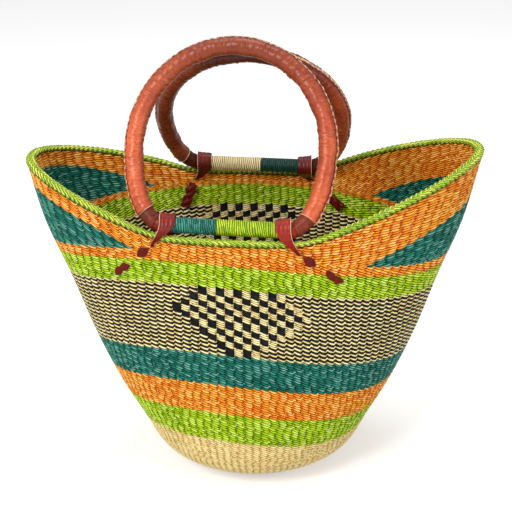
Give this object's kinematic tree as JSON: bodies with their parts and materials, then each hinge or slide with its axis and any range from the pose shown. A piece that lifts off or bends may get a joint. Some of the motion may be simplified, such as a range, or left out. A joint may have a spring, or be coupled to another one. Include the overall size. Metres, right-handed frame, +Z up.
{
  "type": "market basket",
  "caption": "Woven grass market basket with a flared boat-shaped mouth, dyed bands, a plaited rim and leather-bound hoop handles that swing on lashed bars.",
  "frame": {"origin": "middle of the round base, on the surface that the basket stands on", "axes": "+Z up, +X towards the higher wing of the mouth on the picture's right, -Y the pictured front"},
  "size_m": [0.3868, 0.209, 0.3767],
  "materials": {
    "natural_grass": "undyed elephant grass, close weave, matt",
    "lime_grass": "lime-dyed elephant grass, close weave, matt",
    "orange_grass": "orange-dyed elephant grass, close weave, matt",
    "teal_grass": "teal-dyed elephant grass, close weave, matt",
    "checker_grass": "black and undyed elephant grass in a checker, matt",
    "braid_grass": "lime and undyed elephant grass, plaited",
    "hoop_leather": "terracotta leather, sewn and wrinkled, satin",
    "red_leather": "red-brown leather, glossy",
    "collar_leather": "mauve-brown leather, satin",
    "dark_leather": "dark red-brown leather, satin",
    "teal_thread": "teal-dyed grass thread, close wound",
    "lime_thread": "lime-dyed grass thread, close wound",
    "natural_thread": "undyed grass thread, close wound",
    "dark_teal_thread": "dark teal grass thread, close wound"
  },
  "bodies": {
    "basket": {"base_disc": "natural_grass", "natural_band": "natural_grass", "lime_band_lower": "lime_grass", "orange_band_lower": "orange_grass", "teal_band": "teal_grass", "checker_band": "checker_grass", "lime_band_upper": "lime_grass", "orange_band_upper": "orange_grass", "teal_gore_right": "teal_grass", "teal_gore_left": "teal_grass", "orange_rim_band": "orange_grass", "rim_braid": "braid_grass", "lashing_front_left": "red_leather", "lashing_front_right": "red_leather", "lashing_back_left": "red_leather", "lashing_back_right": "red_leather", "stitch_leaf_front_left": "dark_leather", "stitch_leaf_front_right": "dark_leather", "stitch_leaf_back_left": "dark_leather", "stitch_leaf_back_right": "dark_leather", "stitch_twist_front_left": "dark_leather", "stitch_twist_front_right": "dark_leather", "stitch_twist_back_left": "dark_leather", "stitch_twist_back_right": "dark_leather", "knot_front_left": "dark_leather", "knot_front_right": "dark_leather", "knot_back_left": "dark_leather", "knot_back_right": "dark_leather"},
    "front_handle": {"front_hoop_core": "natural_grass", "front_hoop_leather": "hoop_leather", "front_bar_thread_left": "teal_thread", "front_bar_thread_right": "lime_thread", "front_bar_binding_left": "red_leather", "front_bar_binding_right": "red_leather", "front_hoop_collar_left": "collar_leather", "front_hoop_collar_right": "collar_leather"},
    "back_handle": {"back_hoop_core": "natural_grass", "back_hoop_leather": "hoop_leather", "back_bar_thread_left": "natural_thread", "back_bar_thread_right": "dark_teal_thread", "back_bar_binding_left": "red_leather", "back_bar_binding_right": "red_leather", "back_hoop_collar_left": "collar_leather", "back_hoop_collar_right": "collar_leather"}
  },
  "joints": [
    {"name": "front_handle_swing", "type": "hinge", "parent": "basket", "child": "front_handle", "pos_m": [-0.0205, -0.084, 0.23788], "axis": [0.997, -0.0697, -0.0333], "range_deg": [0, 75]},
    {"name": "back_handle_swing", "type": "hinge", "parent": "basket", "child": "back_handle", "pos_m": [-0.0015, 0.085, 0.23875], "axis": [-0.9984, 0.0453, 0.0333], "range_deg": [0, 75]}
  ]
}
